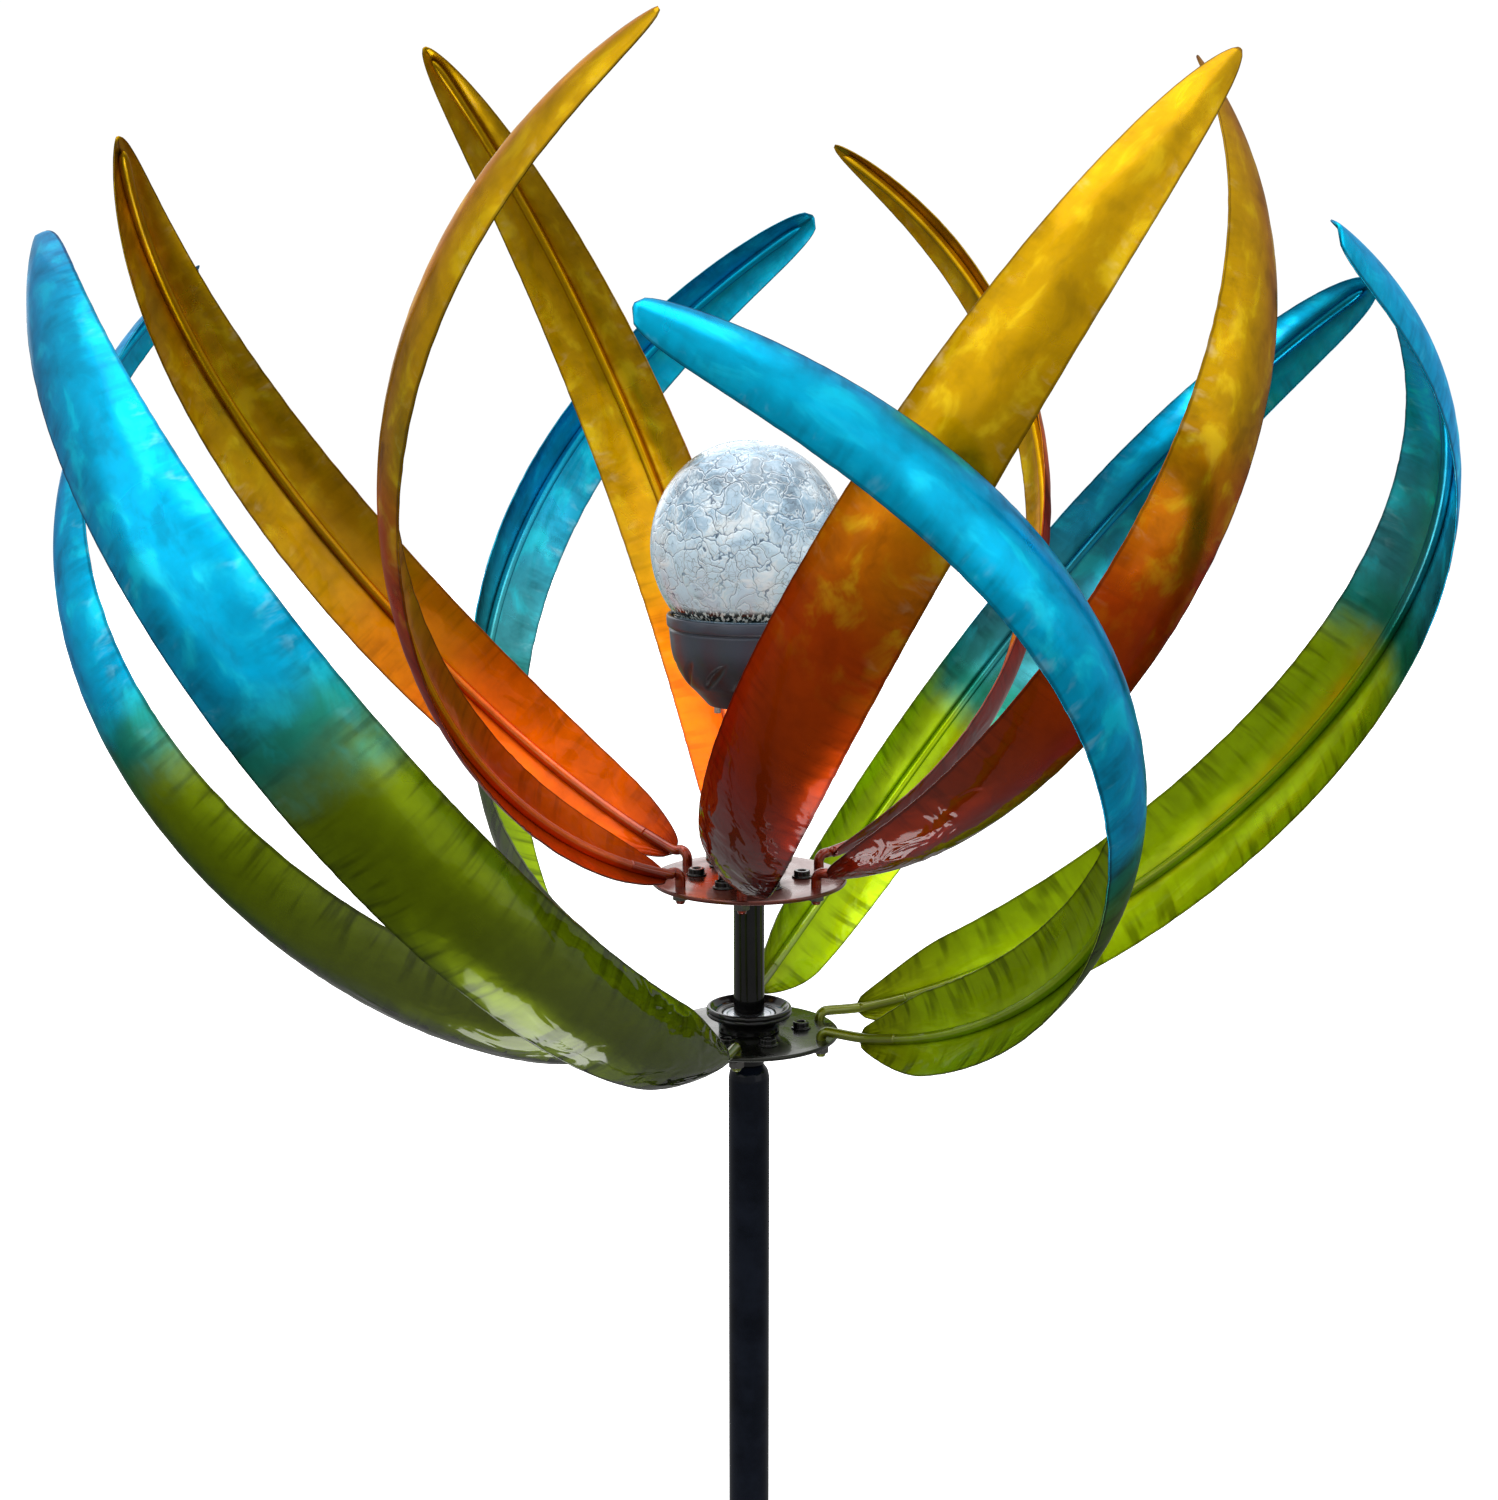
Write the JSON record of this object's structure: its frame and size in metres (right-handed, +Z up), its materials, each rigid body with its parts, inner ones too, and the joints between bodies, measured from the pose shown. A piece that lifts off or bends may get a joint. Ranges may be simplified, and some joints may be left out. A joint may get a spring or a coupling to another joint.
{
  "type": "kinetic wind sculpture",
  "caption": "Garden wind spinner: two counter-leaning tiers of painted leaf blades on bearings, a solar globe lamp on top, a sectional pole and a ground fork.",
  "frame": {"origin": "on the pole axis at the ground line, level with the underside of the fork tines' level bars", "axes": "+Z up along the pole; -Y is the front, where the first blade of each tier starts; +X to the right seen from the front"},
  "size_m": [0.5618, 0.6166, 1.9057],
  "materials": {
    "upper_paint": "glossy candy paint, gold at the tips to copper red at the roots",
    "lower_paint": "glossy candy paint, blue at the tips through teal to olive green at the roots",
    "upper_wire": "glossy candy paint",
    "lower_wire": "glossy candy paint",
    "copper_plate": "glossy copper brown paint",
    "dark_plate": "glossy dark olive paint",
    "black_paint": "gloss black paint",
    "pole_paint": "gloss blue-black paint",
    "steel": "turned steel",
    "zinc": "dull zinc plate",
    "black_plastic": "satin moulded plastic",
    "glass": "clear crackle glass",
    "solar_cell": "coated silicon cell",
    "circuit_board": "green solder mask",
    "battery_wrap": "shrink wrap"
  },
  "bodies": {
    "root": {"bottom_pole": "pole_paint", "lower_pole": "pole_paint", "middle_pole": "pole_paint", "top_pole": "pole_paint", "fork_tine_right": "pole_paint", "fork_tine_left": "pole_paint", "rotor_shaft": "steel", "lower_spacer": "black_paint", "middle_spacer": "black_paint", "shaft_lock_nut": "zinc"},
    "lower_rotor": {"lower_hub_plate": "dark_plate", "lower_bearing_cup": "black_paint", "lower_bearing": "steel", "lower_blade_1": "lower_paint", "lower_rib_1": "lower_wire", "lower_stem_nut_1": "zinc", "lower_blade_2": "lower_paint", "lower_rib_2": "lower_wire", "lower_stem_nut_2": "zinc", "lower_blade_3": "lower_paint", "lower_rib_3": "lower_wire", "lower_stem_nut_3": "zinc", "lower_blade_4": "lower_paint", "lower_rib_4": "lower_wire", "lower_stem_nut_4": "zinc", "lower_blade_5": "lower_paint", "lower_rib_5": "lower_wire", "lower_stem_nut_5": "zinc", "lower_blade_6": "lower_paint", "lower_rib_6": "lower_wire", "lower_stem_nut_6": "zinc"},
    "upper_rotor": {"upper_hub_plate": "copper_plate", "upper_bearing_cup": "black_paint", "upper_bearing": "steel", "upper_blade_1": "upper_paint", "upper_rib_1": "upper_wire", "upper_stem_nut_1": "zinc", "upper_blade_2": "upper_paint", "upper_rib_2": "upper_wire", "upper_stem_nut_2": "zinc", "upper_blade_3": "upper_paint", "upper_rib_3": "upper_wire", "upper_stem_nut_3": "zinc", "upper_blade_4": "upper_paint", "upper_rib_4": "upper_wire", "upper_stem_nut_4": "zinc", "upper_blade_5": "upper_paint", "upper_rib_5": "upper_wire", "upper_stem_nut_5": "zinc", "upper_blade_6": "upper_paint", "upper_rib_6": "upper_wire", "upper_stem_nut_6": "zinc"},
    "lamp": {"lamp_socket": "steel", "lamp_cup": "black_plastic", "lamp_base_cover": "black_plastic", "solar_panel": "solar_cell", "light_board": "circuit_board", "battery_cell": "battery_wrap", "lamp_globe": "glass"},
    "switch_slider": {"lamp_switch": "black_plastic"}
  },
  "joints": [
    {"name": "lower_spin", "type": "hinge", "parent": "root", "child": "lower_rotor", "pos_m": [0, 0, 1.293], "axis": [0, 0, 1], "continuous": true},
    {"name": "upper_spin", "type": "hinge", "parent": "root", "child": "upper_rotor", "pos_m": [0, 0, 1.36], "axis": [0, 0, 1], "continuous": true},
    {"name": "lamp_lift", "type": "slide", "parent": "root", "child": "lamp", "axis": [0, 0, 1], "range_m": [0, 0.06]},
    {"name": "switch_slide", "type": "slide", "parent": "lamp", "child": "switch_slider", "axis": [1, 0, 0], "range_m": [0, 0.0032]}
  ]
}
